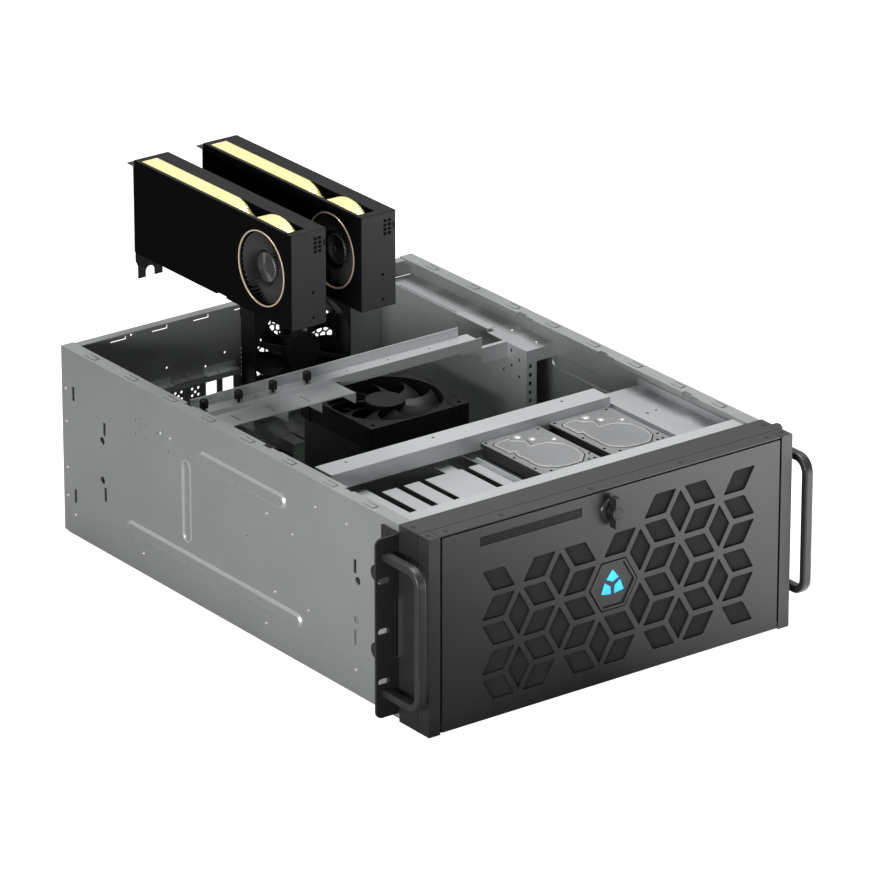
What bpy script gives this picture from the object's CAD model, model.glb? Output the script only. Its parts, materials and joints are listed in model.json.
"""Looks of a rack-mount GPU server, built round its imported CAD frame."""

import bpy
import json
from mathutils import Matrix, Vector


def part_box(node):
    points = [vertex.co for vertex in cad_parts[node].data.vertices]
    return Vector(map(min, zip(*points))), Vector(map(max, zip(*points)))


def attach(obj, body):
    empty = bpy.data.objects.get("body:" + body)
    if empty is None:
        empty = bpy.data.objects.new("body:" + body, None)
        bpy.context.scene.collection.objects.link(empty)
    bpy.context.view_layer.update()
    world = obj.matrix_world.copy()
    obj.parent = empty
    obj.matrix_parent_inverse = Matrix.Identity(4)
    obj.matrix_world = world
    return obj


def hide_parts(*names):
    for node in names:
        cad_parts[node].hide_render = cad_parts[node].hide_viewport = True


bl_info = {
    "name": "GPU server",
    "version": (1, 0, 0),
    "blender": (4, 5, 0),
    "location": "3D View > Sidebar > GPU server",
    "description": "Finishes and detailed pieces for an open rack-mount GPU server",
    "category": "Object",
}

import json
import math

import bmesh
import bpy
from mathutils import Matrix, Vector

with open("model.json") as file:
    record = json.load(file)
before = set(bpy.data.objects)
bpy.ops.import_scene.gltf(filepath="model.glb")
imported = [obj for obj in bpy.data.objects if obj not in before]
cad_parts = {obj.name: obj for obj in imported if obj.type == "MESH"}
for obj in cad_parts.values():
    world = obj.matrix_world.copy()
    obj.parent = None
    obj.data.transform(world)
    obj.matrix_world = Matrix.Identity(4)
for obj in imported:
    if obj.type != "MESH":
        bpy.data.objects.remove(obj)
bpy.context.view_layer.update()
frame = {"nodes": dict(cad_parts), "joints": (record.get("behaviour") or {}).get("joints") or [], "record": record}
MM = 0.001


# ---------------------------------------------------------------- places


def node_box(name):
    """Lowest and highest corner of a CAD node, in millimetres."""
    low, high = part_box(name)
    return low / MM, high / MM


def box_centre(name):
    """Middle of a CAD node's box, in millimetres."""
    low, high = node_box(name)
    return (low + high) / 2


X, Y, Z = Vector((1, 0, 0)), Vector((0, 1, 0)), Vector((0, 0, 1))
# Overlap of joined solids and slack of comparisons
HAIR = 0.01
# How far the pressed ribs stand out from the side walls
RIB_RISE = 1
# Front edge of the side walls
FRONT_Y = node_box("left_side")[0].y
# Flat of the right wall, inside the ribs that stand out from it
WALL_X = node_box("right_side")[1].x - RIB_RISE
DOOR_LOW, DOOR_HIGH = node_box("door")


# ---------------------------------------------------------------- settings


class ServerSizes(bpy.types.PropertyGroup):
    """Size that a user would change, in metres."""

    lattice_round: bpy.props.FloatProperty(
        name="Lattice corner",
        description="Corner radius of the door's lozenge openings",
        default=0.0016,
        unit="LENGTH",
    )


class ServerColours(bpy.types.PropertyGroup):
    """Colours that a user would change."""

    zinc: bpy.props.FloatVectorProperty(
        name="Zinc",
        description="Galvanised sheet of the walls",
        default=(0.30, 0.31, 0.31),
        subtype="COLOR",
    )
    bright_zinc: bpy.props.FloatVectorProperty(
        name="Bright zinc",
        description="Galvanised sheet of the beams and shelves",
        default=(0.44, 0.46, 0.465),
        subtype="COLOR",
    )
    bezel: bpy.props.FloatVectorProperty(
        name="Bezel",
        description="Dark paint of the bezel and door",
        default=(0.014, 0.014, 0.015),
        subtype="COLOR",
    )
    card: bpy.props.FloatVectorProperty(
        name="Card",
        description="Black of the accelerator cards",
        default=(0.004, 0.004, 0.0045),
        subtype="COLOR",
    )
    gold: bpy.props.FloatVectorProperty(
        name="Gold",
        description="Finned strip along the cards",
        default=(1.0, 0.88, 0.46),
        subtype="COLOR",
    )
    glow: bpy.props.FloatVectorProperty(
        name="Glow",
        description="Lit emblem on the door",
        default=(0.02, 0.35, 0.95),
        subtype="COLOR",
    )


def sizes():
    """Size settings of the scene."""
    return bpy.context.scene.server_sizes


def colours():
    """Colour settings of the scene."""
    return bpy.context.scene.server_colours


# ---------------------------------------------------------------- materials


# Height of the grain that bumps a surface, in metres
GRAIN_HEIGHT = 0.0002


def feed(node, inputs):
    """Sets a node's inputs, by name or number, to values or links them to other nodes' outputs."""
    for key, value in inputs.items():
        if isinstance(value, bpy.types.NodeSocket):
            node.id_data.links.new(value, node.inputs[key])
        else:
            node.inputs[key].default_value = value
    return node


def add_node(tree, kind, inputs=None):
    """Adds a shader node with its inputs."""
    return feed(tree.nodes.new("ShaderNode" + kind), inputs or {})


def calculate(tree, operation, *values):
    """Result of one sum on numbers and outputs."""
    node = add_node(tree, "Math")
    node.operation = operation
    return feed(node, dict(enumerate(values))).outputs[0]


def span(tree, value, low, high, start=0, end=1):
    """Maps a value that runs from start to end to a range."""
    inputs = {"Value": value, "From Min": start, "From Max": end, "To Min": low, "To Max": high}
    return add_node(tree, "MapRange", inputs).outputs[0]


def new_material(name):
    """Material with its node tree and main shader."""
    material = bpy.data.materials.new(name)
    material.use_nodes = True
    return material, material.node_tree, material.node_tree.nodes["Principled BSDF"]


def object_noise(tree, scale, detail=3, stretch=(1, 1, 1)):
    """Noise on object coordinates, scaled per metre."""
    place = add_node(tree, "TexCoord").outputs["Object"]
    stretched = add_node(tree, "Mapping", {"Vector": place, "Scale": stretch}).outputs["Vector"]
    return add_node(tree, "TexNoise", {"Vector": stretched, "Scale": scale, "Detail": detail}).outputs[0]


def tint(tree, value, low, high, spread=(0.35, 0.65)):
    """Colour that runs from one to another as a value goes through a spread."""
    ramp = add_node(tree, "ValToRGB", {"Fac": value})
    for element, position, colour in zip(ramp.color_ramp.elements, spread, (low, high)):
        element.position = position
        element.color = (*colour, 1)
    return ramp.outputs["Color"]


def bump(tree, height, strength):
    """Normal bumped by a grain."""
    inputs = {"Height": height, "Strength": strength, "Distance": GRAIN_HEIGHT}
    return add_node(tree, "Bump", inputs).outputs["Normal"]


def shade(colour, factor):
    """Lighter or darker colour."""
    return tuple(min(1.0, c * factor) for c in colour)


def zinc_sheet(name, colour, metallic=0.55, roughness=0.42, contrast=0.10):
    """Galvanised sheet: fine spangle, faint clouding, dull shine."""
    material, tree, shader = new_material(name)
    fine = object_noise(tree, 900, 4)
    cloud = object_noise(tree, 9, 4)
    mixed = calculate(tree, "MULTIPLY_ADD", cloud, 0.35, span(tree, fine, 0, 0.65))
    dark, light = shade(colour, 1 - contrast), shade(colour, 1 + contrast)
    feed(shader, {
        "Base Color": tint(tree, mixed, dark, light, (0.3, 0.7)),
        "Roughness": span(tree, cloud, roughness - 0.05, roughness + 0.07),
        "Metallic": metallic,
        "Normal": bump(tree, fine, 0.05),
    })
    return material


def satin(name, colour, roughness=0.45, metallic=0, grain=1400, depth=0.08, specular=0.5):
    """Painted or moulded surface with a fine grain."""
    material, tree, shader = new_material(name)
    broad = object_noise(tree, 14)
    feed(shader, {
        "Base Color": tint(tree, broad, shade(colour, 0.93), shade(colour, 1.07)),
        "Roughness": span(tree, broad, roughness - 0.03, roughness + 0.05),
        "Metallic": metallic,
        "Specular IOR Level": specular,
        "Normal": bump(tree, object_noise(tree, grain), depth),
    })
    return material


def brushed(name, colour, roughness=0.3, metallic=1, stretch=(1, 1, 1)):
    """Brushed or plated metal, its grain stretched along one axis."""
    material, tree, shader = new_material(name)
    grain = object_noise(tree, 700, 4, stretch)
    feed(shader, {
        "Base Color": tint(tree, grain, shade(colour, 0.88), shade(colour, 1.08)),
        "Roughness": span(tree, grain, roughness - 0.06, roughness + 0.08),
        "Metallic": metallic,
    })
    return material


def spun(name, colour):
    """Disc turned on a lathe, whose highlight fans out from its centre."""
    material, tree, shader = new_material(name)
    tangent = add_node(tree, "Tangent")
    tangent.direction_type = "RADIAL"
    tangent.axis = "X"
    feed(shader, {
        "Base Color": tint(tree, object_noise(tree, 300, 2), shade(colour, 0.9), shade(colour, 1.1)),
        "Tangent": tangent.outputs["Tangent"],
        "Metallic": 0.9,
        "Roughness": 0.4,
        "Anisotropic": 0.9,
    })
    return material


def two_faced(name, side, edge, roughness, specular):
    """Cover whose large faces across X are darker than its narrow faces."""
    material, tree, shader = new_material(name)
    normal = add_node(tree, "NewGeometry").outputs["True Normal"]
    across = calculate(tree, "ABSOLUTE", add_node(tree, "SeparateXYZ", {0: normal}).outputs["X"])
    feed(shader, {
        "Base Color": tint(tree, across, edge, side, (0.5, 0.7)),
        "Roughness": roughness,
        "Specular IOR Level": specular,
        "Normal": bump(tree, object_noise(tree, 1400), 0.08),
    })
    return material


def lit(name, colour, strength):
    """Lit plastic, a little uneven as a light guide is."""
    material, tree, shader = new_material(name)
    glow = tint(tree, object_noise(tree, 60, 2), shade(colour, 0.8), shade(colour, 1.2))
    feed(shader, {
        "Base Color": glow,
        "Emission Color": glow,
        "Emission Strength": strength,
        "Roughness": 0.3,
    })
    return material


def circuit_board(name):
    """Dark solder mask with faint tracks."""
    material, tree, shader = new_material(name)
    tracks = add_node(tree, "TexBrick", {
        "Vector": add_node(tree, "TexCoord").outputs["Object"],
        "Scale": 160,
        "Mortar Size": 0.06,
        "Color1": (0.006, 0.012, 0.010, 1),
        "Color2": (0.010, 0.018, 0.014, 1),
        "Mortar": (0.03, 0.05, 0.035, 1),
    })
    feed(shader, {"Base Color": tracks.outputs["Color"], "Roughness": 0.35})
    return material


MATERIALS = {}


def make_materials():
    """Makes each finish and keeps it by its short name."""
    c = colours()
    MATERIALS.update(
        zinc=zinc_sheet("zinc sheet", tuple(c.zinc)),
        bright_zinc=zinc_sheet("bright zinc sheet", tuple(c.bright_zinc), 0.5, 0.38, 0.05),
        pressed=zinc_sheet("pressed zinc", shade(tuple(c.zinc), 1.9), 0.8, 0.26, 0.05),
        black_paint=satin("black paint", (0.014, 0.014, 0.015), 0.45, specular=0.3),
        bezel=satin("bezel paint", tuple(c.bezel), 0.42),
        door=satin("door paint", tuple(c.bezel), 0.38),
        shadow=satin("shadow black", (0.002, 0.002, 0.002), 0.9, specular=0.1),
        foam=satin("filter foam", (0.03, 0.03, 0.03), 0.8, grain=2600, depth=0.3, specular=0.3),
        fan=satin("fan plastic", (0.009, 0.009, 0.009), 0.42, specular=0.15),
        window=satin("window plastic", (0.010, 0.010, 0.010), 0.3, depth=0.0, specular=0.15),
        glow=lit("lit emblem", tuple(c.glow), 1.6),
        lock=satin("lock plating", (0.022, 0.022, 0.022), 0.32, 0.3, depth=0.0),
        turned_black=spun("spun black", (0.10, 0.10, 0.10)),
        pin=brushed("ground steel", (0.6, 0.6, 0.6), 0.25, stretch=(1, 8, 8)),
        card=two_faced("card black", tuple(c.card), (0.031, 0.031, 0.032), 0.5, 0.0),
        card_end=satin("card end plate", (0.024, 0.024, 0.025), 0.5, specular=0.2),
        gold=brushed("card gold", tuple(c.gold), 0.32, 0.35, stretch=(8, 1, 1)),
        copper=brushed("inlet ring", (0.80, 0.63, 0.44), 0.3, 0.5),
        blower=satin("blower vanes", (0.18, 0.18, 0.185), 0.35),
        board=circuit_board("solder mask"),
        port=brushed("port plating", (0.55, 0.55, 0.55), 0.3),
        fins=satin("black nickel fins", (0.012, 0.012, 0.013), 0.4),
        drive=satin("drive lid", (0.20, 0.205, 0.21), 0.45, 0.4, grain=900, depth=0.4),
        bead=satin("polished bead", (0.36, 0.36, 0.36), 0.4, 0.3, depth=0.0),
    )


SLOT_MATERIALS = {
    "galvanised_steel": "zinc",
    "bright_steel": "bright_zinc",
    "black_paint": "black_paint",
    "bezel_plastic": "bezel",
    "door_paint": "door",
    "filter_mesh": "foam",
    "fan_plastic": "fan",
    "gloss_window": "window",
    "emblem_blue": "glow",
    "lock_metal": "lock",
    "pin_steel": "pin",
    "card_black": "card",
    "card_gold": "gold",
    "ring_copper": "copper",
    "circuit_board": "board",
    "port_metal": "port",
    "cooler_metal": "fins",
    "drive_aluminium": "drive",
}


class SERVER_OT_finishes(bpy.types.Operator):
    """Make every finish and put it on the CAD nodes"""

    bl_idname = "server.finishes"
    bl_label = "Finishes"

    def execute(self, context):
        make_materials()
        for part in frame["record"]["subparts"]:
            node = frame["nodes"][part["node"]]
            node.data.materials.clear()
            node.data.materials.append(MATERIALS[SLOT_MATERIALS[part["material_slot"]]])
        return {"FINISHED"}


# ---------------------------------------------------------------- shaping


# Bevels are quarter rounds that keep their faces' material
ROUND = {"profile": 0.5, "material": -1}


def block(shape, low, high):
    """Box between two corners, in millimetres."""
    verts = bmesh.ops.create_cube(shape, size=1)["verts"]
    low, high = Vector(low), Vector(high)
    bmesh.ops.scale(shape, vec=high - low, verts=verts)
    bmesh.ops.translate(shape, vec=(low + high) / 2, verts=verts)


def place(shape, axis, centre, verts=None):
    """Turns vertices, or a whole shape, made round Z to an axis and moves them."""
    verts = shape.verts if verts is None else verts
    turn = Z.rotation_difference(Vector(axis)).to_matrix()
    bmesh.ops.rotate(shape, verts=verts, matrix=turn, cent=(0, 0, 0))
    bmesh.ops.translate(shape, vec=centre, verts=verts)


def rod(shape, start, end, radius, segments=32):
    """Round bar from one point to another."""
    start, end = Vector(start), Vector(end)
    size = {"segments": segments, "radius1": radius, "radius2": radius, "depth": (end - start).length}
    verts = bmesh.ops.create_cone(shape, cap_ends=True, **size)["verts"]
    place(shape, end - start, (start + end) / 2, verts)


def turned(shape, profile, centre, axis, segments=48):
    """Solid of revolution, whose profile is a radius and a height along the axis; gives its vertices."""
    verts = [shape.verts.new((r, 0, h)) for r, h in profile]
    edges = [shape.edges.new(pair) for pair in zip(verts, verts[1:])]
    round_z = {"cent": (0, 0, 0), "axis": Z, "angle": math.tau, "steps": segments}
    spun = bmesh.ops.spin(shape, geom=verts + edges, use_merge=True, **round_z)
    made = set(verts) | {g for g in spun["geom_last"] if isinstance(g, bmesh.types.BMVert)}
    reached = set(made)
    stack = list(made)
    while stack:
        for edge in stack.pop().link_edges:
            for vert in edge.verts:
                if vert not in reached:
                    reached.add(vert)
                    stack.append(vert)
    verts = list(reached)
    bmesh.ops.remove_doubles(shape, verts=verts, dist=0.0005)
    verts = [v for v in verts if v.is_valid]
    place(shape, axis, centre, verts)
    return verts


def rounded_loop(points, corner, segments=4):
    """Points of a flat closed outline after its corners are rounded, in order."""
    flat = bmesh.new()
    verts = [flat.verts.new(p) for p in points]
    flat.faces.new(verts)
    if corner:
        bmesh.ops.bevel(flat, geom=verts, affect="VERTICES", offset=corner, segments=segments, **ROUND)
    flat.faces.ensure_lookup_table()
    loop = [v.co.copy() for v in flat.faces[0].verts]
    flat.free()
    return loop


def slab(shape, loops, thickness):
    """Sheet whose first loop is its rim and whose others are openings, thickened along a vector."""
    edges = []
    for loop in loops:
        verts = [shape.verts.new(p) for p in loop]
        edges += [shape.edges.new((verts[i - 1], verts[i])) for i in range(len(verts))]
    filled = bmesh.ops.triangle_fill(shape, edges=edges, use_beauty=True, use_dissolve=False)
    faces = [g for g in filled["geom"] if isinstance(g, bmesh.types.BMFace)]
    grown = bmesh.ops.extrude_face_region(shape, geom=faces)
    verts = [g for g in grown["geom"] if isinstance(g, bmesh.types.BMVert)]
    bmesh.ops.translate(shape, vec=thickness, verts=verts)


def inset_loops(points, steps):
    """Rounded outlines inside a clockwise one, for steps of width inwards, rise and corner."""
    loops = []
    inward = height = 0
    for width, rise, corner in steps:
        inward += width
        height += rise
        outline = []
        for i, point in enumerate(points):
            before = (point - points[i - 1]).normalized()
            after = (points[(i + 1) % len(points)] - point).normalized()
            sides = [Vector((along.y, -along.x, 0)) for along in (before, after)]
            shift = (sides[0] + sides[1]) * inward / (1 + sides[0].dot(sides[1]))
            outline.append(point + shift + Vector((0, 0, height)))
        loops.append(rounded_loop(outline, corner, 3))
    return loops


def skin(shape, loops, closed=False):
    """Surface from each loop to the next, with a face over the last one if it is closed."""
    rings = [[shape.verts.new(p) for p in loop] for loop in loops]
    for ring, following in zip(rings, rings[1:]):
        for i in range(len(ring)):
            shape.faces.new((ring[i - 1], ring[i], following[i], following[i - 1]))
    if closed:
        shape.faces.new(rings[-1])


def soften(shape, width, angle=30, segments=2, edges=None):
    """Rounds the edges, of all or of some, that are sharper than an angle."""
    limit = math.radians(angle)
    pool = shape.edges if edges is None else edges
    sharp = [e for e in pool if len(e.link_faces) == 2 and e.calc_face_angle() > limit]
    size = {"offset": width, "segments": segments, "clamp_overlap": True}
    bmesh.ops.bevel(shape, geom=sharp, affect="EDGES", **size, **ROUND)


def add_shape(shape, part):
    """Moves all of one shape into another."""
    mesh = bpy.data.meshes.new("part")
    part.to_mesh(mesh)
    part.free()
    shape.from_mesh(mesh)
    bpy.data.meshes.remove(mesh)


def cad_copy(node):
    """Merged copy of a CAD node, in millimetres, with flat faces joined."""
    shape = bmesh.new()
    shape.from_mesh(frame["nodes"][node].data)
    bmesh.ops.scale(shape, vec=(1 / MM, 1 / MM, 1 / MM), verts=shape.verts)
    bmesh.ops.remove_doubles(shape, verts=shape.verts, dist=0.005)
    bmesh.ops.dissolve_limit(shape, angle_limit=math.radians(0.5), verts=shape.verts, edges=shape.edges)
    return shape


def finish_piece(shape, name, finish, body, replaces=(), smooth=35):
    """Turns a shape in millimetres into a finished piece that rides on a body."""
    bmesh.ops.recalc_face_normals(shape, faces=shape.faces)
    bmesh.ops.scale(shape, vec=(MM, MM, MM), verts=shape.verts)
    mesh = bpy.data.meshes.new(name)
    shape.to_mesh(mesh)
    shape.free()
    mesh.polygons.foreach_set("use_smooth", [True] * len(mesh.polygons))
    mesh.set_sharp_from_angle(angle=math.radians(smooth))
    piece = bpy.data.objects.new(name, mesh)
    bpy.context.scene.collection.objects.link(piece)
    mesh.materials.append(MATERIALS[finish])
    weigh = piece.modifiers.new("weighted normals", "WEIGHTED_NORMAL")
    weigh.keep_sharp = True
    weigh.weight = 100
    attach(piece, body)
    if replaces:
        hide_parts(*replaces)


def softened(node, finish, width):
    """A chassis node of the CAD again, with its edges rounded."""
    shape = cad_copy(node)
    soften(shape, width)
    finish_piece(shape, node + "_finished", finish, "chassis", (node,))


# ---------------------------------------------------------------- sheet metal and bezel


# Finish, slot and edge rounding of each sheet or moulding
SHEET_PIECES = {
    "front_rail": ("bright_zinc", "bright_steel", 0.4),
    "bay_plate": ("bright_zinc", "bright_steel", 0.3),
    "front_beam": ("bright_zinc", "bright_steel", 0.4),
    "right_shelf": ("bright_zinc", "bright_steel", 0.3),
    "crossbar": ("bright_zinc", "bright_steel", 0.3),
    "card_retainer": ("bright_zinc", "bright_steel", 0.3),
    "psu_cage": ("bright_zinc", "galvanised_steel", 0.3),
    "bezel_box": ("bezel", "bezel_plastic", 0.8),
    "front_frame": ("bezel", "bezel_plastic", 0.6),
    "left_ear": ("black_paint", "black_paint", 0.5),
    "right_ear": ("black_paint", "black_paint", 0.5),
}
# The handles' bars are a little broader across than deep
HANDLE_WIDEN = 1.22
# Seam round the bezel: half its width, how deep it goes in and how far it stands out
SEAM_HALF, SEAM_DEEP, SEAM_PROUD = 0.3, 0.5, 0.04


class SERVER_OT_sheet_pieces(bpy.types.Operator):
    """Round the edges of the folded sheets, the bezel and the ears"""

    bl_idname = "server.sheet_pieces"
    bl_label = "Sheet pieces"

    def execute(self, context):
        for node, (finish, slot, width) in SHEET_PIECES.items():
            softened(node, finish, width)
        for node in ("left_handle", "right_handle"):
            shape = cad_copy(node)
            middle = box_centre(node)
            bmesh.ops.translate(shape, vec=-middle, verts=shape.verts)
            bmesh.ops.scale(shape, vec=(HANDLE_WIDEN, 1, 1), verts=shape.verts)
            bmesh.ops.translate(shape, vec=middle, verts=shape.verts)
            finish_piece(shape, node + "_finished", "bezel", "chassis", (node,))
        self.seams()
        return {"FINISHED"}

    def seams(self):
        """Dark line where the front frame meets the deep bezel."""
        low, high = node_box("bezel_box")
        y0 = node_box("front_frame")[1].y - SEAM_HALF
        y1 = y0 + 2 * SEAM_HALF
        inner_low, inner_high = low + SEAM_HALF * (X + Z), high - SEAM_HALF * (X + Z)
        shape = bmesh.new()
        block(shape, (inner_low.x, y0, high.z - SEAM_DEEP), (inner_high.x, y1, high.z + SEAM_PROUD))
        block(shape, (low.x - SEAM_PROUD, y0, inner_low.z), (low.x + SEAM_DEEP, y1, inner_high.z))
        block(shape, (high.x - SEAM_DEEP, y0, inner_low.z), (high.x + SEAM_PROUD, y1, inner_high.z))
        finish_piece(shape, "bezel_seam", "shadow", "chassis", ())


# ---------------------------------------------------------------- door


# Side of the lattice's hexagons, width of its bars, height of its middle and step between its rows
HEX_R = 31.7
LATTICE_BAR = 5.5
LATTICE_Z = 99.3
HEX_STEP = HEX_R * math.sqrt(3)
# Lattice cells as column, row, and whether each has an upper, a lower and a tall lozenge
LATTICE = [
    (-3, 0.5, 1, 1, 0), (-3, -0.5, 1, 1, 0), (-3, -1.5, 1, 0, 0),
    (-2, 1, 0, 1, 0), (-2, 0, 1, 1, 1), (-2, -1, 1, 1, 1),
    (-1, 0.5, 1, 1, 1), (-1, -0.5, 1, 1, 1), (-1, -1.5, 1, 0, 0),
    (0, 1, 0, 1, 0), (0, -1, 1, 1, 1),
    (1, 1.5, 0, 1, 0), (1, 0.5, 1, 1, 1), (1, -0.5, 1, 1, 1), (1, -1.5, 1, 0, 0),
    (2, 1, 1, 1, 1), (2, 0, 1, 1, 1), (2, -1, 1, 1, 1),
    (3, 1.5, 0, 1, 0), (3, 0.5, 1, 1, 1), (3, -0.5, 1, 1, 1), (3, -1.5, 1, 0, 0),
]


def upright(angle):
    """Direction in the plane of the door, at an angle from +X towards +Z."""
    return math.cos(angle) * X + math.sin(angle) * Z


def lozenge(column, row, turn, y):
    """Rounded opening of one lozenge, in the plane of the door."""
    side = HEX_R - LATTICE_BAR / math.sin(math.pi / 3)
    middle = Vector((1.5 * HEX_R * column, y, LATTICE_Z + HEX_STEP * row)) + HEX_R / 2 * upright(turn)
    u, v = (side / 2 * upright(turn + lean) for lean in (-math.pi / 3, math.pi / 3))
    corners = [middle - u - v, middle + u - v, middle + u + v, middle - u + v]
    return rounded_loop(corners, sizes().lattice_round / MM, 3)


def lattice_loops(y):
    """Openings of the whole lattice."""
    loops = []
    for column, row, upper, lower, tall in LATTICE:
        for present, turn in ((upper, 60), (lower, 300), (tall, 180)):
            if present:
                loops.append(lozenge(column, row, math.radians(turn), y))
    return loops


def rectangle(x0, x1, z0, z1, y):
    """Corners of an upright rectangle."""
    return [Vector((x0, y, z0)), Vector((x1, y, z0)), Vector((x1, y, z1)), Vector((x0, y, z1))]


def ring_loop(centre, radius, segments):
    """Points of an upright circle or regular polygon."""
    return [centre + radius * upright(math.tau * i / segments) for i in range(segments)]


# Thickness of the door's sheet and of its flanges, and how far the flanges at the sides and top reach back
DOOR_PLATE = FLANGE = 2.5
SIDE_FLANGE, TOP_FLANGE = 12, 10
# Width left for the dark seal between the sheet and the door's outline
SEAL = 0.9
# Hinge barrels: height, depth behind the face, radius and half their length
HINGE_Z, HINGE_DEPTH, HINGE_R, HINGE_HALF = 7, 4, 3.9, 4
LOCK = Vector((-4.3, DOOR_LOW.y, 176.5))
# Half width, half length, nearest and farthest face of the lock's bar, in front of the door
LOCK_BAR = (3.2, 15.5, 3.2, 12.4)
BADGE = Vector((0, DOOR_LOW.y, LATTICE_Z))
# Left, right, lower and upper edge of the window strip, and its marks: count, step, width and margin
WINDOW = (-156.5, -38.0, 178.0, 187.3)
MARKS, MARK_STEP, MARK_WIDTH, MARK_X, MARK_Z = 11, 10.6, 6, 6, 2.2
# Corners of one of the emblem's three kites: distance from the badge's middle, and turn off its axis
KITE = [(3, 0), (9.5, -0.85), (15, 0), (9.5, 0.85)]


class SERVER_OT_door(bpy.types.Operator):
    """Make the door with its lattice, window, lock and badge"""

    bl_idname = "server.door"
    bl_label = "Door"

    def execute(self, context):
        self.plate()
        self.window()
        self.badge()
        self.lock()
        return {"FINISHED"}

    def plate(self):
        """Sheet with its openings, flanges and hinge barrels, and the seal round it."""
        y = DOOR_LOW.y
        back = y + DOOR_PLATE - HAIR
        edges = (DOOR_LOW.x + SEAL, DOOR_HIGH.x - SEAL, DOOR_LOW.z, DOOR_HIGH.z - SEAL)
        loops = [rounded_loop(rectangle(*edges, y), 1.2, 3), *lattice_loops(y)]
        loops.append(ring_loop(BADGE, HEX_R - 2.8, 6))
        loops.append(ring_loop(LOCK, 9.5, 32))
        loops.append(rectangle(*WINDOW, y))
        shape = bmesh.new()
        slab(shape, loops, DOOR_PLATE * Y)
        bmesh.ops.recalc_face_normals(shape, faces=shape.faces)
        front = [e for e in shape.edges if all(abs(v.co.y - y) < HAIR for v in e.verts)]
        soften(shape, 0.35, 40, 2, front)
        for side in (-1, 1):
            x0, x1 = sorted((side * DOOR_HIGH.x, side * (DOOR_HIGH.x - FLANGE)))
            block(shape, (x0, back, DOOR_LOW.z), (x1, y + SIDE_FLANGE, DOOR_HIGH.z))
            hub = Vector((side * (DOOR_HIGH.x - HINGE_HALF), y + HINGE_DEPTH, HINGE_Z))
            rod(shape, hub - HINGE_HALF * X, hub + HINGE_HALF * X, HINGE_R)
        x0, x1 = DOOR_LOW.x + FLANGE + 0.1, DOOR_HIGH.x - FLANGE - 0.1
        block(shape, (x0, back, DOOR_HIGH.z - FLANGE), (x1, y + TOP_FLANGE, DOOR_HIGH.z))
        finish_piece(shape, "door_plate", "door", "door", ("door",))
        seal = []
        for inset in (0.05, 2.2):
            low, high = DOOR_LOW + inset * (X + Z), DOOR_HIGH - inset * (X + Z)
            seal.append(rectangle(low.x, high.x, low.z, high.z, y + 1))
        shape = bmesh.new()
        slab(shape, seal, 1.4 * Y)
        finish_piece(shape, "door_seal", "shadow", "door", ())

    def window(self):
        """Black strip with a row of raised marks."""
        x0, x1, z0, z1 = WINDOW
        y = DOOR_LOW.y
        shape = bmesh.new()
        block(shape, (x0, y + 0.6, z0), (x1, y + 2.4, z1))
        soften(shape, 0.3)
        for i in range(MARKS):
            x = x0 + MARK_X + i * MARK_STEP
            block(shape, (x, y + 0.45, z0 + MARK_Z), (x + MARK_WIDTH, y + 0.7, z1 - MARK_Z))
        finish_piece(shape, "window_strip", "window", "door", ("door_window",))

    def badge(self):
        """Hexagonal rim, its black face and the lit kites on it."""
        shape = bmesh.new()
        rim = [ring_loop(BADGE - 0.5 * Y, HEX_R - gap, 6) for gap in (4.1, 7)]
        slab(shape, rim, 2.6 * Y)
        bmesh.ops.recalc_face_normals(shape, faces=shape.faces)
        soften(shape, 0.4)
        finish_piece(shape, "badge_rim", "door", "door", ("badge",))
        shape = bmesh.new()
        slab(shape, [ring_loop(BADGE + 1.4 * Y, HEX_R - 6.5, 6)], Y)
        finish_piece(shape, "badge_face", "door", "door")
        shape = bmesh.new()
        for turn in (90, 210, 330):
            kite = [BADGE + 0.8 * Y + reach * upright(math.radians(turn) + aside) for reach, aside in KITE]
            slab(shape, [rounded_loop(kite, 0.5, 2)], 0.7 * Y)
        finish_piece(shape, "emblem_light", "glow", "door", ("emblem",))

    def lock(self):
        """Plated ring, and in it the barrel with its bar and keyhole."""
        shape = bmesh.new()
        profile = [(6.6, 0), (6.6, 2.4), (8.6, 2.9), (10.6, 2.3), (11.7, 1.0), (12.0, 0), (6.6, 0)]
        turned(shape, profile, LOCK, -Y)
        rod(shape, LOCK + 0.1 * Y, LOCK + 6 * Y, 9.4)
        finish_piece(shape, "lock_ring", "lock", "door", ("lock_body",))
        width, length, near, far = LOCK_BAR
        shape = bmesh.new()
        bar = rectangle(-width, width, -length, length, -near)
        slab(shape, [rounded_loop([LOCK + corner for corner in bar], 1, 3)], (near - far) * Y)
        bmesh.ops.recalc_face_normals(shape, faces=shape.faces)
        soften(shape, 0.5, 50)
        cap = [(0, 8), (6.3, 8), (6.3, 12.0), (5.9, 12.4), (5.3, 12.4), (5.1, 12.1), (0, 12.1)]
        turned(shape, cap, LOCK, -Y)
        turned(shape, [(0, -6), (6.4, -6), (6.4, 6.6), (0, 6.6)], LOCK, -Y)
        front = LOCK - (far + 0.05) * Y
        block(shape, front + Vector((-0.5, 0, -2.6)), front + Vector((0.5, 0.45, 2.6)))
        block(shape, front + Vector((-2.6, 0, -0.4)), front + Vector((-0.4, 0.45, 0.4)))
        finish_piece(shape, "lock_bar", "lock", "lock_knob", ("lock_knob",))


# ---------------------------------------------------------------- fans


FAN_AXES = {"cooler_fan": Z, "rear_fan": Y}
FRONT_FANS = ("front_fan_rotor_1", "front_fan_rotor_2", "front_fan_rotor_3")
# Radius of the 120 mm fans' hubs and of their blades' tips
HUB_R, FAN_R = 20.5, 56.6


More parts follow.
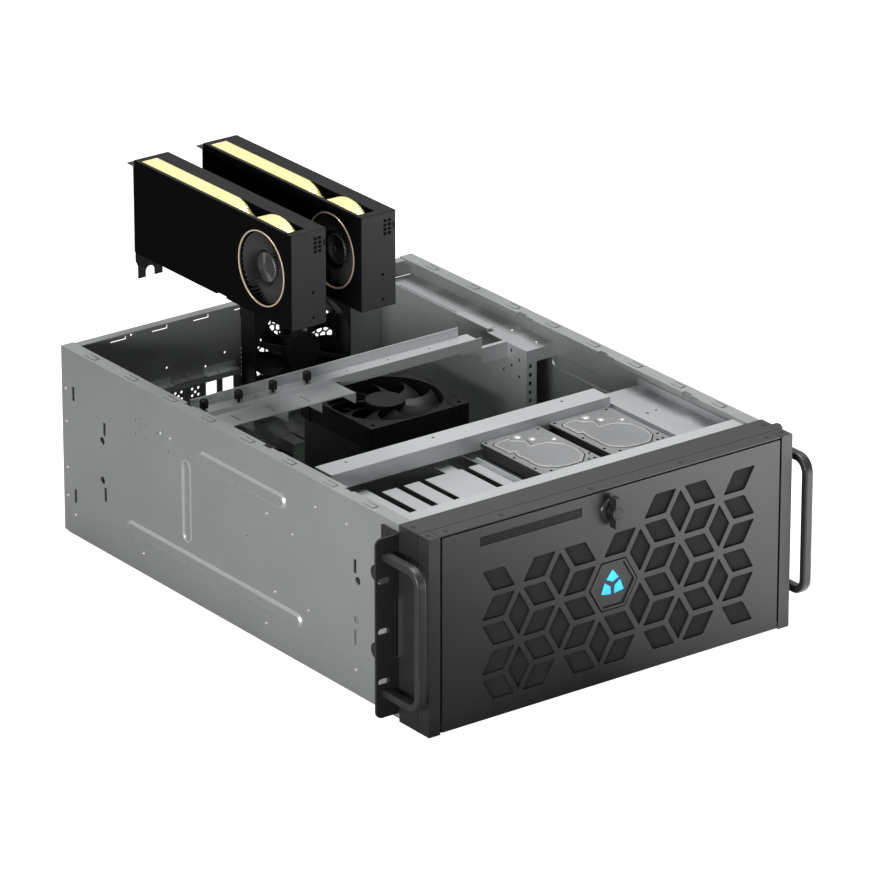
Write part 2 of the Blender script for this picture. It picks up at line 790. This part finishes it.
def fan_blade(shape, hub, tip, chord, pitch, sweep, thickness):
    """One swept, twisted blade round Z, grown from a grid."""
    grid = bmesh.ops.create_grid(shape, x_segments=8, y_segments=6, size=0.5)["verts"]
    for vert in grid:
        u, w = vert.co.x + 0.5, vert.co.y
        radius = hub + u * (tip - hub)
        lean = math.radians(pitch * (1 - 0.28 * u))
        width = chord * (0.75 + 0.45 * u)
        across = w * width * math.cos(lean)
        height = w * width * math.sin(lean) + 1.6 * (1 - 4 * w * w)
        angle = across / radius + math.radians(sweep) * u * u
        vert.co = (radius * math.cos(angle), radius * math.sin(angle), height)
    faces = list({f for v in grid for f in v.link_faces})
    bmesh.ops.solidify(shape, geom=faces, thickness=thickness)


def fan_rotor_shape(blades, chord, depth):
    """Rotor round Z: hub cap with a rolled edge and swept blades."""
    low, high = -depth / 2, depth / 2
    cap = [
        (0, high - 0.3), (HUB_R - 5, high - 0.3), (HUB_R - 4.4, high), (HUB_R - 2, high),
        (HUB_R - 0.6, high - 0.5), (HUB_R, high - 2), (HUB_R, low), (0, low),
    ]
    shape = bmesh.new()
    turned(shape, cap, (0, 0, 0), Z, 64)
    blade = bmesh.new()
    fan_blade(blade, HUB_R - 1, FAN_R, chord, 36, 26, 1.5)
    for i in range(blades):
        copy = blade.copy()
        turn = Matrix.Rotation(math.tau * i / blades, 3, "Z")
        bmesh.ops.rotate(copy, verts=copy.verts, matrix=turn, cent=(0, 0, 0))
        add_shape(shape, copy)
    blade.free()
    return shape


class SERVER_OT_fans(bpy.types.Operator):
    """Make the fans' frames and swept rotors"""

    bl_idname = "server.fans"
    bl_label = "Fans"

    def execute(self, context):
        for name, axis in FAN_AXES.items():
            self.rotor(name + "_rotor", axis, 9, 27)
            softened(name + "_frame", "fan", 0.5)
        for name in FRONT_FANS:
            self.rotor(name, Y, 7, 34)
        return {"FINISHED"}

    def rotor(self, node, axis, blades, chord):
        """Rotor on its joint's axis, 2 mm thinner than the node's box and 1 mm further along the axis."""
        low, high = node_box(node)
        shape = fan_rotor_shape(blades, chord, (high - low).dot(axis) - 2)
        joint = [j for j in frame["joints"] if j["child"] == node][0]
        pivot = Vector(joint["pos_m"]) / MM
        middle = (low + high).dot(axis) / 2 + 1
        place(shape, axis, pivot + axis * (middle - pivot.dot(axis)))
        finish_piece(shape, node + "_swept", "fan", node, (node,), 40)


# ---------------------------------------------------------------- accelerator cards


CARDS = ("card_1", "card_2")
CARD_LOW, CARD_HIGH = node_box("card_1_shroud")
CARD_PITCH = node_box("card_2_shroud")[0].x - CARD_LOW.x
# Inlet's centre on the card's side, and radius of the dome over it
FAN_SPOT = Vector((0, 49.5, 49.5))
DOME_R = 48.5
# Left and right edge of the gold strip, spacing of its rows and how deep its grooves and ridges lie
STRIP = (4.0, 22.4)
STRIP_STEP = 0.51
RIDGE, GROOVE = -0.15, -1.25
# The gold strip starts at the rear, then dips below the card's top towards the dome round the fan
STRIP_REAR = 257
DIP = [(116, 0), (112, -1), (107, -2.4), (102, -4.2), (96, -8.6), (91, -11), (87, -12), (84, -12.1)]
# Course over the dome, in degrees forwards from straight up, and what the dip leaves of it
DOME_START, DOME_STEP, DOME_POINTS = 42, 3.9, 23
DOME_CLEAR, DOME_BACK = 14.5, 60
# Width and height of the end plate, with a notch in its right edge, and where its two screws are
END_PLATE = (40.1, 96.4)
NOTCH_DEEP, NOTCH_LOW, NOTCH_HIGH = 3, 79.4, 85.4
SCREW_X, SCREW_HEIGHTS = 25.5, (8.5, 34)
# Power socket: place, spacing and size of its eight holes
SOCKET_X, SOCKET_Z = 26.2, 73.6
SOCKET_STEP_X, SOCKET_STEP_Z = 5.2, 4.4
SOCKET_WIDE, SOCKET_HIGH = 3.8, 3.3
# The bracket's screw tab is lowered, and its height tells it from the rest
TAB_Z, TAB_DROP = 96.5, 6.5
# Blower: vanes, their inner radius and length, their start and height along X, and depth behind the inlet
VANES, VANE_R, VANE_LONG, VANE_LOW, VANE_HIGH = 41, 19.5, 15.7, -1.6, 21
BLOWER_DEEP = 4


def strip_line():
    """Points along the strip, as place from the front and height, rear to front."""
    top = CARD_HIGH.z - CARD_LOW.z
    line = [(STRIP_REAR, top)] + [(y, top + drop) for y, drop in DIP]
    for i in range(DOME_POINTS):
        a = math.radians(DOME_START - DOME_STEP * i)
        y, z = FAN_SPOT.y + DOME_R * math.sin(a), FAN_SPOT.z + DOME_R * math.cos(a)
        if z > top - DOME_CLEAR or y < DOME_BACK:
            line.append((y, z))
    return [Vector(point) for point in line]


def resample(line, step):
    """Same line again with even spacing."""
    out = [line[0]]
    left = step
    for a, b in zip(line, line[1:]):
        length = (b - a).length
        at = left
        while at <= length:
            out.append(a + (b - a) * (at / length))
            at += step
        left = at - length
    return out


class SERVER_OT_cards(bpy.types.Operator):
    """Make the accelerator cards' shrouds, gold strips, blowers and brackets"""

    bl_idname = "server.cards"
    bl_label = "Accelerator cards"

    def execute(self, context):
        for index, card in enumerate(CARDS):
            at = CARD_LOW + Vector((CARD_PITCH * index, 0, 0))
            self.bracket(card, at)
            self.strip(card, at)
            self.ring(card, at)
            self.blower(card, at)
            self.end_plate(card, at)
        return {"FINISHED"}

    def bracket(self, card, at):
        """The bracket with its screw tab a little below the shroud's top."""
        shape = cad_copy(card + "_bracket")
        top = [v for v in shape.verts if v.co.z > at.z + TAB_Z]
        bmesh.ops.translate(shape, vec=-TAB_DROP * Z, verts=top)
        soften(shape, 0.2)
        finish_piece(shape, card + "_bracket_finished", "card_end", card, (card + "_bracket",))

    def strip(self, card, at):
        """Ribbed gold strip along the top and over the fan, and the stack of fins below it."""
        line = resample(strip_line(), STRIP_STEP)
        shape = bmesh.new()
        rows = []
        for i, point in enumerate(line):
            ahead = line[min(i + 1, len(line) - 1)] - line[max(i - 1, 0)]
            normal = Vector((ahead.y, -ahead.x)).normalized()
            if normal.y < 0:
                normal = -normal
            y, z = point + normal * (RIDGE if i % 6 < 4 else GROOVE)
            rows.append([shape.verts.new(at + Vector((x, y, z))) for x in STRIP])
        for a, b in zip(rows, rows[1:]):
            shape.faces.new((a[0], a[1], b[1], b[0]))
        bmesh.ops.recalc_face_normals(shape, faces=shape.faces)
        grown = bmesh.ops.extrude_face_region(shape, geom=list(shape.faces))
        low = [g for g in grown["geom"] if isinstance(g, bmesh.types.BMVert)]
        bmesh.ops.translate(shape, vec=-1.3 * Z, verts=low)
        finish_piece(shape, card + "_gold_strip", "gold", card, (), 30)
        stack = cad_copy(card + "_fins")
        gone = [v for v in stack.verts if v.co.z > at.z + 90 or v.co.y < at.y + 97]
        bmesh.ops.delete(stack, geom=gone, context="VERTS")
        finish_piece(stack, card + "_fin_stack", "fins", card, (card + "_fins",))

    def ring(self, card, at):
        """Rounded ring round the inlet."""
        profile = [
            (36.6, 0.2), (36.9, 0.7), (37.4, 0.9), (37.9, 0.7), (38.2, 0.2), (38.2, -0.3), (36.6, -0.3),
            (36.6, 0.2),
        ]
        shape = bmesh.new()
        turned(shape, profile, at + FAN_SPOT, -X, 96)
        finish_piece(shape, card + "_inlet_ring", "copper", card, (card + "_ring",))

    def blower(self, card, at):
        """Curved vanes on a back plate, and the turned hub between them."""
        node = card + "_rotor"
        centre = at + FAN_SPOT + BLOWER_DEEP * X
        shape = bmesh.new()
        for i in range(VANES):
            vane = bmesh.new()
            verts = bmesh.ops.create_grid(vane, x_segments=6, y_segments=2, size=0.5)["verts"]
            for v in verts:
                u = v.co.x + 0.5
                radius = VANE_R + VANE_LONG * u
                angle = math.tau * i / VANES + 0.36 * u * u
                height = VANE_LOW + VANE_HIGH * (v.co.y + 0.5)
                v.co = (radius * math.cos(angle), radius * math.sin(angle), height)
            bmesh.ops.solidify(vane, geom=list(vane.faces), thickness=0.8)
            add_shape(shape, vane)
        turned(shape, [(0, 19.2), (34, 19.2), (34, 21.2), (0, 21.2)], (0, 0, 0), Z, 64)
        place(shape, X, centre)
        finish_piece(shape, node + "_vanes", "blower", node, (node,), 40)
        shape = bmesh.new()
        slope = [(3.6 + 0.6 * k, -0.4 + 0.1 * k + 0.06 * (k % 2)) for k in range(20)]
        hub = [(0, -0.9), (3, -0.8), (3.3, -0.4), *slope, (16.4, 3.4), (17.2, 6), (17.8, 19), (0, 19)]
        turned(shape, hub, (0, 0, 0), Z, 64)
        place(shape, X, centre)
        finish_piece(shape, node + "_hub", "turned_black", node, (), 40)

    def end_plate(self, card, at):
        """Plate on the card's front end, with two sunk screws and the holes of the power socket."""
        width, height = END_PLATE
        inner = width - NOTCH_DEEP
        corners = [
            (0.5, 0.5), (width, 0.5), (width, NOTCH_LOW), (inner, NOTCH_LOW), (inner, NOTCH_HIGH),
            (width, NOTCH_HIGH), (width, height), (0.5, height),
        ]
        front = at - 0.3 * Y
        loops = [[front + Vector((x, 0, z)) for x, z in corners]]
        screws = [Vector((SCREW_X, 0, z)) for z in SCREW_HEIGHTS]
        loops += [ring_loop(front + screw, 1.9, 20) for screw in screws]
        for column in range(2):
            for row in range(4):
                x, z = at.x + SOCKET_X + SOCKET_STEP_X * column, at.z + SOCKET_Z + SOCKET_STEP_Z * row
                loops.append(rectangle(x, x + SOCKET_WIDE, z, z + SOCKET_HIGH, front.y))
        shape = bmesh.new()
        slab(shape, loops, 0.28 * Y)
        finish_piece(shape, card + "_end_plate", "card_end", card, ())
        head = [(0, -1.2), (0.6, -1.2), (0.7, -0.5), (1.6, -0.5), (1.7, -1.4), (0, -1.6)]
        shape = bmesh.new()
        for screw in screws:
            turned(shape, head, at + screw, -Y, 20)
        block(shape, at + Vector((25.8, -0.05, 73.2)), at + Vector((35.8, 0.4, 91)))
        finish_piece(shape, card + "_screws", "shadow", card, ())


# ---------------------------------------------------------------- drives


# Course of the pressed bead on the lid, clockwise
LID_BEAD = [
    (7.5, 90), (15, 92), (28, 92.5), (28.5, 86), (35, 80), (39, 79), (36, 66), (46, 65), (54, 62.5),
    (64, 50), (66, 32.5), (62.5, 17), (49.5, 3.5), (34, 3), (21, 6), (9.5, 16.5), (7, 25), (8, 40),
    (7, 51), (9.5, 59.5), (5, 60), (4.5, 86),
]
# Width, rise and corner of each ring inwards: dark seal, bead's side and crown, flat, inner bead and its side
LID_STEPS = [
    (0, 0, 1.5), (1.1, 0, 1.4), (0.3, 0.6, 1.3), (0.8, 0.15, 1.1), (1.2, 0, 0.8), (0.7, -0.15, 0.5),
    (0.3, -0.3, 0.35),
]
# Places on the lid: screws, domes with their radius, ovals with both their radii
LID_SCREWS = [(3, 95), (65, 94), (67, 17), (64, 5), (57.5, 5), (11.5, 4), (2.5, 50), (2.6, 17)]
LID_DOMES = [(37, 90, 5.2), (45.5, 77.5, 4.6), (62, 65, 3.8)]
LID_OVALS = [(20, 85, 6, 3.2), (60, 87, 4.5, 3), (59, 75, 4, 3), (14, 74, 5, 6)]


class SERVER_OT_drives(bpy.types.Operator):
    """Make the two drives with their pressed lids"""

    bl_idname = "server.drives"
    bl_label = "Drives"

    def execute(self, context):
        for side in ("left", "right"):
            low, high = node_box("drive_" + side)
            at = Vector((low.x, low.y, high.z))
            self.case(side, low, high)
            self.lid(side, at, high - low)
        return {"FINISHED"}

    def case(self, side, low, high):
        """Body and the wider top that the lid sits on."""
        shape = bmesh.new()
        block(shape, (low.x + 1.6, low.y + 2, low.z + 2), (high.x - 1.6, high.y - 2, high.z - 6))
        block(shape, (low.x + 0.4, low.y + 0.4, high.z - 6), (high.x - 0.4, high.y - 0.4, high.z - 1.9))
        soften(shape, 0.5)
        node = "drive_" + side
        finish_piece(shape, node + "_case", "black_paint", "chassis", (node,))

    def lid(self, side, at, size):
        """Lid with its pressed bead, domes, ovals and screws."""
        top = at.z - 1

        def spot(x, y, z=top):
            """Place on the lid."""
            return Vector((at.x + x, at.y + y, z))

        rim = rounded_loop([spot(0, 0), spot(size.x, 0), spot(size.x, size.y), spot(0, size.y)], 2.5, 4)
        loops = inset_loops([spot(x, y, top + 0.06) for x, y in LID_BEAD], LID_STEPS)
        shape = bmesh.new()
        slab(shape, [rim], Vector((0, 0, -0.9)))
        soften(shape, 0.3, 50)
        skin(shape, loops[3:5])
        skin(shape, loops[5:], True)
        dish = [(0, -0.3), (0.8, -0.25), (0.93, 0.2), (1.0, 0), (1.0, -0.6), (0, -0.6)]
        for x, y, radius_x, radius_y in LID_OVALS:
            oval = turned(shape, dish, (0, 0, 0), Z, 28)
            bmesh.ops.scale(shape, vec=(radius_x, radius_y, 1), verts=oval)
            bmesh.ops.translate(shape, vec=spot(x, y), verts=oval)
        finish_piece(shape, "drive_" + side + "_lid", "drive", "chassis", (), 40)
        shape = bmesh.new()
        skin(shape, loops[1:4])
        skin(shape, loops[4:6])
        for x, y, r in LID_DOMES:
            dome = [(0, 1.1), (r * 0.5, 0.9), (r * 0.8, 0.3), (r, -0.6), (0, -0.6)]
            turned(shape, dome, spot(x, y), Z, 32)
        finish_piece(shape, "drive_" + side + "_bead", "bead", "chassis", (), 40)
        shape = bmesh.new()
        skin(shape, loops[:2])
        head = [(0, 0.1), (0.5, 0.1), (0.55, 0.45), (1.25, 0.4), (1.5, 0.0), (0, -0.2)]
        for x, y in LID_SCREWS:
            turned(shape, head, spot(x, y), Z, 16)
        finish_piece(shape, "drive_" + side + "_screws", "shadow", "chassis", ())


# ---------------------------------------------------------------- small hardware


# Rivets of the side walls, as place behind the front and height
RIVETS = [
    (554.6, 155.6), (554.2, 120.7), (554.3, 71.6), (554.6, 41.5), (541.6, 24.3), (422.6, 24), (390, 161.7),
    (373.5, 161.7), (212.6, 138), (170.3, 130.7), (133.1, 171.6), (83.6, 171.2), (200.2, 61.4), (145.4, 61.3),
    (214.9, 23.6), (70, 27.3),
]
# Ribs along the side walls, with round ends: start and end behind the front, height of the middle line
RIB_HALF = 8
RIBS = [(156.6, 449.6, 44), (181.6, 325.6, 158)]
# Radius and rise of each line round a rib
RIB_PROFILE = [(8.7, -0.05), (8.1, 0.15), (7.5, 0.7), (6.9, 1.35), (6.2, 1.8), (5.2, 2.0), (4.2, 2.0)]
# Upright recess: place behind the front, lower and upper centre, and the lines round it
RECESS = (347.1, 69, 140)
LIP_PROFILE = [(8.0, -0.05), (7.4, 0.3), (6.7, 0.45), (6.0, 0.3), (5.4, -0.1), (4.9, -0.7)]
# Thumbscrews: places along X, their knurls, and the head's radius, height and depth of knurl
THUMB_X = (-181, -140.4, -99.8, -59.2)
KNURLS = 36
THUMB_R, THUMB_HIGH, KNURL_DEEP = 4.25, 10, 0.4
# Rivets on the top of the supply cage
CAGE_RIVET_X, CAGE_RIVET_DEPTHS, CAGE_TOP = 200, (333.8, 373.7), 177


class SERVER_OT_hardware(bpy.types.Operator):
    """Make the ribs' rounded faces, the rivets and the knurled thumbscrews"""

    bl_idname = "server.hardware"
    bl_label = "Rivets and screws"

    def execute(self, context):
        self.ribs()
        self.rivets()
        self.thumbscrews()
        self.supply_cage()
        return {"FINISHED"}

    def ribs(self):
        """Rounded sides and flat tops of the ribs, and the lip of the recess."""
        shape = bmesh.new()
        tops = bmesh.new()
        for side in (-1, 1):
            for d0, d1, z in RIBS:
                ends = ((FRONT_Y + d1 - RIB_HALF, z, -90), (FRONT_Y + d0 + RIB_HALF, z, 90))
                loops = [self.oblong(side, ends, r, h) for r, h in RIB_PROFILE]
                skin(shape, loops[:-1])
                skin(tops, loops[-2:], True)
            d, z0, z1 = RECESS
            ends = ((FRONT_Y + d, z1, 0), (FRONT_Y + d, z0, 180))
            skin(shape, [self.oblong(side, ends, r, h) for r, h in LIP_PROFILE])
        finish_piece(shape, "rib_sides", "pressed", "chassis", (), 60)
        finish_piece(tops, "rib_tops", "zinc", "chassis", (), 60)

    def oblong(self, side, ends, radius, rise):
        """Loop round two ends on a side wall, each with its y, z and the angle where its arc starts."""
        loop = []
        for y, z, start in ends:
            for k in range(13):
                a = math.radians(start + 15 * k)
                loop.append((side * (WALL_X + rise), y + radius * math.cos(a), z + radius * math.sin(a)))
        return loop

    def rivets(self):
        """Domed rivets on both side walls."""
        dome = [(0, 1.5), (0.9, 1.35), (1.6, 0.85), (2.1, 0.1), (0, -0.2)]
        shape = bmesh.new()
        for depth, z in RIVETS:
            for side in (-1, 1):
                turned(shape, dome, (side * WALL_X, FRONT_Y + depth, z), side * X, 16)
        finish_piece(shape, "side_rivets", "bead", "chassis", (), 60)

    def thumbscrews(self):
        """Knurled heads with a turned cap, each on its screw."""
        cap = [
            (0, 10), (1.2, 10), (1.6, 9.4), (2.8, 9.4), (3.5, 9.2), (3.9, 8), (3.9, 0.6), (2.4, 0.1),
            (0, 0.1),
        ]
        outline = []
        for i in range(2 * KNURLS):
            a = math.pi * i / KNURLS
            radius = THUMB_R if i % 2 else THUMB_R - KNURL_DEEP
            outline.append(Vector((radius * math.cos(a), radius * math.sin(a), 0.6)))
        middle, top = box_centre("thumbscrews"), node_box("thumbscrews")[1].z
        shape = bmesh.new()
        for x in THUMB_X:
            at = Vector((x, middle.y, top - THUMB_HIGH))
            head = bmesh.new()
            slab(head, [outline], 7.4 * Z)
            bmesh.ops.translate(head, vec=at, verts=head.verts)
            add_shape(shape, head)
            turned(shape, cap, at, Z, 32)
            rod(shape, at - 6 * Z, at + 0.2 * Z, 1.4, 16)
        finish_piece(shape, "thumbscrew_heads", "fan", "chassis", ("thumbscrews",), 30)

    def supply_cage(self):
        """Rivets on the top of the supply cage."""
        dome = [(0, 1.2), (1.4, 1.1), (2.2, 0.7), (2.5, 0.0), (0, -0.3)]
        shape = bmesh.new()
        for depth in CAGE_RIVET_DEPTHS:
            turned(shape, dome, (CAGE_RIVET_X, FRONT_Y + depth, CAGE_TOP), Z, 20)
        finish_piece(shape, "cage_rivets", "pin", "chassis", (), 60)



# ---------------------------------------------------------------- stage


CAMERA_AIM = Vector((-0.0804, -0.1585, 0.2131))
CAMERA_AZIMUTH = math.radians(-36.63)
CAMERA_ELEVATION = math.radians(22.31)
CAMERA_DISTANCE = 6.2587
CAMERA_LENS = 273.36
FLOOR_HALF = 12
# Brightness of the world as ambient light and in reflections
WORLD_LIGHT = (0.10, 0.55)
# Floor in reflections: its glow at both ends of a stretch of X, and the share of it at both ends of one of Y
CARD_GLOW, CARD_X = (0, 4.6), (0, 0.55)
CARD_SHARE, CARD_Y = (1, 0.25), (-0.32, -0.24)
# Name, place, aim, size and power of each lamp, in metres and watts
LAMPS = [
    ("key", (0.5, 0.15, 2.3), (0.05, 0, 0.1), (1.2, 1.2), 54),
    ("top", (0.0, 0.3, 3.2), (0, 0, 0.1), (2.0, 2.0), 30),
    ("left fill", (-2.4, -1.0, 0.6), (0, 0, 0.1), (1.7, 0.6), 66),
]


def area_light(name, spot, aim, size, power):
    """Soft rectangular lamp that faces a point."""
    lamp = bpy.data.lights.new(name, "AREA")
    lamp.shape = "RECTANGLE"
    lamp.size, lamp.size_y = size
    lamp.energy = power
    holder = bpy.data.objects.new(name, lamp)
    bpy.context.scene.collection.objects.link(holder)
    holder.location = spot
    holder.rotation_euler = (Vector(aim) - Vector(spot)).to_track_quat("-Z", "Y").to_euler()


def white_floor():
    """Paper that is white to the camera, and a light card in front in reflections, brighter towards +X."""
    paper = satin("floor paper", (0.35, 0.35, 0.35), 0.9, specular=0.1)
    tree = paper.node_tree
    rays = add_node(tree, "LightPath").outputs
    place = add_node(tree, "TexCoord").outputs["Object"]
    across = add_node(tree, "SeparateXYZ", {0: place}).outputs
    card = span(tree, across["X"], *CARD_GLOW, *CARD_X)
    front = span(tree, across["Y"], *CARD_SHARE, *CARD_Y)
    mirrored = calculate(tree, "MULTIPLY", calculate(tree, "MULTIPLY", card, front), rays["Is Glossy Ray"])
    glow = calculate(tree, "MULTIPLY_ADD", rays["Is Camera Ray"], 1, mirrored)
    feed(tree.nodes["Principled BSDF"], {"Emission Strength": glow, "Emission Color": (1, 1, 1, 1)})
    return paper


def white_world(ambient, mirrored):
    """World that is white to the camera, dim as ambient light and brighter in reflections."""
    world = bpy.data.worlds.new("studio")
    bpy.context.scene.world = world
    world.use_nodes = True
    tree = world.node_tree
    rays = add_node(tree, "LightPath").outputs
    shine = calculate(tree, "MULTIPLY_ADD", rays["Is Glossy Ray"], mirrored - ambient, ambient)
    strength = calculate(tree, "MAXIMUM", rays["Is Camera Ray"], shine)
    feed(tree.nodes["Background"], {"Color": (1, 1, 1, 1), "Strength": strength})


class SERVER_OT_stage(bpy.types.Operator):
    """Make the floor, the world, the lamps and the camera"""

    bl_idname = "server.stage"
    bl_label = "Stage"

    def execute(self, context):
        context.scene.view_settings.view_transform = "Standard"
        white_world(*WORLD_LIGHT)
        self.floor(context.scene)
        for lamp in LAMPS:
            area_light(*lamp)
        self.camera(context.scene)
        return {"FINISHED"}

    def floor(self, scene):
        """Sheet of paper that the server stands on."""
        mesh = bpy.data.meshes.new("floor")
        shape = bmesh.new()
        bmesh.ops.create_grid(shape, x_segments=1, y_segments=1, size=FLOOR_HALF)
        shape.to_mesh(mesh)
        shape.free()
        mesh.materials.append(white_floor())
        floor = bpy.data.objects.new("floor", mesh)
        scene.collection.objects.link(floor)

    def camera(self, scene):
        """Long lens, from the front, the left and above."""
        camera = bpy.data.objects.new("camera", bpy.data.cameras.new("camera"))
        scene.collection.objects.link(camera)
        camera.data.lens = CAMERA_LENS
        camera.data.sensor_width = 36
        camera.data.clip_end = 60
        flat = math.cos(CAMERA_ELEVATION)
        back = Vector((
            math.sin(CAMERA_AZIMUTH) * flat,
            -math.cos(CAMERA_AZIMUTH) * flat,
            math.sin(CAMERA_ELEVATION),
        ))
        camera.location = CAMERA_AIM + back * CAMERA_DISTANCE
        camera.rotation_euler = back.to_track_quat("Z", "Y").to_euler()
        scene.camera = camera


# ---------------------------------------------------------------- panel


OPERATORS = [
    SERVER_OT_finishes,
    SERVER_OT_sheet_pieces,
    SERVER_OT_door,
    SERVER_OT_fans,
    SERVER_OT_cards,
    SERVER_OT_drives,
    SERVER_OT_hardware,
    SERVER_OT_stage,
]


class SERVER_PT_panel(bpy.types.Panel):
    """Sidebar panel that lists the server's operators and settings"""

    bl_label = "GPU server"
    bl_idname = "SERVER_PT_panel"
    bl_space_type = "VIEW_3D"
    bl_region_type = "UI"
    bl_category = "GPU server"

    def draw(self, context):
        """List every setting and every operator"""
        column = self.layout.column()
        for group in (context.scene.server_sizes, context.scene.server_colours):
            for name in group.__annotations__:
                column.prop(group, name)
        for operator in OPERATORS:
            column.operator(operator.bl_idname)


CLASSES = [ServerSizes, ServerColours, *OPERATORS, SERVER_PT_panel]


def register():
    """Registers the classes and gives the scene its settings."""
    for cls in CLASSES:
        bpy.utils.register_class(cls)
    bpy.types.Scene.server_sizes = bpy.props.PointerProperty(type=ServerSizes)
    bpy.types.Scene.server_colours = bpy.props.PointerProperty(type=ServerColours)


def unregister():
    """Takes both away again."""
    del bpy.types.Scene.server_sizes
    del bpy.types.Scene.server_colours
    for cls in reversed(CLASSES):
        bpy.utils.unregister_class(cls)


def main():
    """Builds everything in order."""
    register()
    for operator in OPERATORS:
        group, action = operator.bl_idname.split(".")
        getattr(getattr(bpy.ops, group), action)()


if __name__ == "__main__":
    main()
